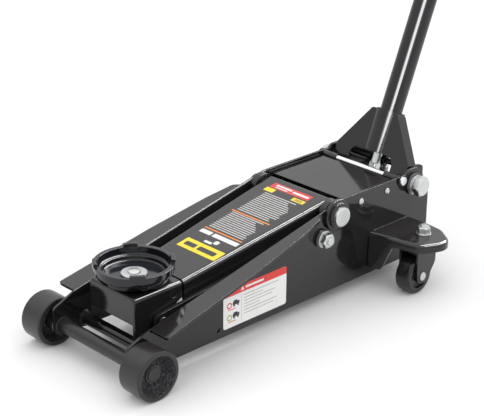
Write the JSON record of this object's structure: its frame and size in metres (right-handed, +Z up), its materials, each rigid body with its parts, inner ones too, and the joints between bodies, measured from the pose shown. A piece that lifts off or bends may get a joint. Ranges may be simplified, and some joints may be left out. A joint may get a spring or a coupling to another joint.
{
  "type": "hydraulic floor jack",
  "caption": "Low trolley jack: tapered channel chassis on wheels and swivel casters, levelled lift arm with round lugged saddle, rear hydraulic unit pumped by a long leaning handle.",
  "frame": {"origin": "on the floor, in the middle of the jack's box, between the front wheels' front and the handle's end", "axes": "+X forward from the handle to the saddle, +Y to the jack's left, +Z up"},
  "size_m": [1.0715, 0.3916, 1.1533],
  "materials": {
    "black_paint": "gloss",
    "cast_black": "satin",
    "saddle_paint": "gloss",
    "zinc": "satin",
    "bright_steel": "polished",
    "dark_steel": "satin",
    "spring_steel": "satin",
    "cast_block": "matt",
    "caster_black": "satin",
    "grip_rubber": "matt"
  },
  "bodies": {
    "chassis": {"left_side_plate": "black_paint", "right_side_plate": "black_paint", "front_axle": "cast_black", "axle_spacers": "dark_steel", "axle_snap_rings": "black_paint", "front_cross_tube": "black_paint", "left_caster_bracket": "black_paint", "right_caster_bracket": "black_paint", "caster_stem_bolts": "zinc", "cover_plate": "black_paint", "cover_screws": "zinc", "lift_shaft": "zinc", "shaft_collars": "black_paint", "rod_anchor_bolts": "zinc", "anchor_collars": "dark_steel", "rear_tie_rod": "bright_steel", "tie_rod_sleeves": "black_paint", "handle_pivot_bolts": "zinc", "pivot_spacers": "dark_steel", "base_plate": "black_paint", "power_unit_block": "cast_block", "reservoir_tube": "black_paint", "ram_cylinder": "dark_steel", "gland_nut": "dark_steel", "pump_barrel": "zinc", "filler_plug": "grip_rubber"},
    "lift_arm": {"lift_arm": "black_paint", "arm_front_pin": "black_paint", "link_pin": "zinc", "return_springs": "spring_steel"},
    "ram": {"ram_rod": "bright_steel", "ram_cross_pin": "zinc"},
    "ram_links": {"ram_link_plates": "dark_steel"},
    "saddle_bracket": {"saddle_bracket": "black_paint", "bracket_rod_pins": "black_paint", "saddle_washer": "zinc", "saddle_screw": "zinc"},
    "saddle": {"saddle": "saddle_paint"},
    "control_rods": {"left_control_rod": "black_paint", "right_control_rod": "black_paint"},
    "handle_socket": {"handle_socket": "black_paint", "roller_pin": "black_paint"},
    "pump_roller": {"pump_roller": "dark_steel"},
    "pump_plunger": {"pump_plunger": "zinc", "pump_spring": "spring_steel"},
    "handle": {"lower_handle": "black_paint", "upper_handle": "black_paint", "handle_grip": "grip_rubber", "handle_yoke": "zinc"},
    "snap_button": {"snap_button": "zinc"},
    "release_valve": {"release_valve": "zinc", "universal_cross": "zinc"},
    "left_front_wheel": {"left_front_wheel": "cast_black"},
    "right_front_wheel": {"right_front_wheel": "cast_black"},
    "left_caster_fork": {"left_caster_fork": "black_paint", "left_caster_axle": "zinc"},
    "right_caster_fork": {"right_caster_fork": "black_paint", "right_caster_axle": "zinc"},
    "left_caster_wheel": {"left_caster_wheel": "caster_black"},
    "right_caster_wheel": {"right_caster_wheel": "caster_black"}
  },
  "joints": [
    {"name": "lift", "type": "hinge", "parent": "chassis", "child": "lift_arm", "pos_m": [0.08954, 0, 0.15], "axis": [0, -1, 0], "range_deg": [0, 60]},
    {"name": "bracket_level", "type": "hinge", "parent": "lift_arm", "child": "saddle_bracket", "pos_m": [0.39554, 0, 0.102], "axis": [0, -1, 0], "range_deg": [-60, 0]},
    {"name": "control_rod_swing", "type": "hinge", "parent": "chassis", "child": "control_rods", "pos_m": [0.12054, 0, 0.119], "axis": [0, -1, 0], "range_deg": [0, 60]},
    {"name": "link_level", "type": "hinge", "parent": "lift_arm", "child": "ram_links", "pos_m": [0.06354, 0, 0.10497], "axis": [0, -1, 0], "range_deg": [-60, 0]},
    {"name": "ram_stroke", "type": "slide", "parent": "chassis", "child": "ram", "axis": [1, 0, 0], "range_m": [0, 0.0521]},
    {"name": "saddle_spin", "type": "hinge", "parent": "saddle_bracket", "child": "saddle", "pos_m": [0.42714, 0, 0.12], "axis": [0, 0, 1], "continuous": true},
    {"name": "pump", "type": "hinge", "parent": "chassis", "child": "handle_socket", "pos_m": [-0.09946, 0, 0.15], "axis": [0, -1, 0], "range_deg": [0, 55], "stiffness_Nm_per_rad": 9, "springref_deg": -68.75},
    {"name": "plunger_stroke", "type": "slide", "parent": "chassis", "child": "pump_plunger", "axis": [0, 0, -1], "range_m": [0, 0.0242], "deforming": ["pump_spring"]},
    {"name": "roller_spin", "type": "hinge", "parent": "handle_socket", "child": "pump_roller", "pos_m": [-0.12252, 0, 0.16201], "axis": [0, 1, 0], "continuous": true},
    {"name": "handle_twist", "type": "hinge", "parent": "handle_socket", "child": "handle", "pos_m": [-0.09946, 0, 0.15], "axis": [-0.3859, 0, 0.9225], "range_deg": [0, 180]},
    {"name": "valve_turn", "type": "hinge", "parent": "chassis", "child": "release_valve", "pos_m": [-0.09946, 0, 0.15], "axis": [-0.3859, 0, 0.9225], "range_deg": [0, 180]},
    {"name": "button_press", "type": "slide", "parent": "handle", "child": "snap_button", "axis": [-0.9225, 0, -0.3859], "range_m": [0, 0.003], "stiffness_N_per_m": 900, "springref_m": -0.001},
    {"name": "left_wheel_spin", "type": "hinge", "parent": "chassis", "child": "left_front_wheel", "pos_m": [0.49854, 0.114, 0.038], "axis": [0, 1, 0], "continuous": true},
    {"name": "left_caster_swivel", "type": "hinge", "parent": "chassis", "child": "left_caster_fork", "pos_m": [-0.05446, 0.15, 0.078], "axis": [0, 0, 1], "continuous": true},
    {"name": "left_caster_spin", "type": "hinge", "parent": "left_caster_fork", "child": "left_caster_wheel", "pos_m": [-0.03249, 0.15115, 0.031], "axis": [-0.0523, 0.9986, 0], "continuous": true},
    {"name": "right_wheel_spin", "type": "hinge", "parent": "chassis", "child": "right_front_wheel", "pos_m": [0.49854, -0.114, 0.038], "axis": [0, 1, 0], "continuous": true},
    {"name": "right_caster_swivel", "type": "hinge", "parent": "chassis", "child": "right_caster_fork", "pos_m": [-0.05446, -0.15, 0.078], "axis": [0, 0, 1], "continuous": true},
    {"name": "right_caster_spin", "type": "hinge", "parent": "right_caster_fork", "child": "right_caster_wheel", "pos_m": [-0.03249, -0.15115, 0.031], "axis": [0.0523, 0.9986, 0], "continuous": true}
  ],
  "couplings": [
    {"joint": "bracket_level", "follows": "lift", "ratio": -1},
    {"joint": "control_rod_swing", "follows": "lift", "ratio": 1},
    {"joint": "link_level", "follows": "lift", "ratio": -1},
    {"joint": "ram_stroke", "follows": "lift", "m_per_rad": 0.049656},
    {"joint": "plunger_stroke", "follows": "pump", "m_per_rad": 0.025012},
    {"joint": "valve_turn", "follows": "handle_twist", "ratio": 1}
  ]
}
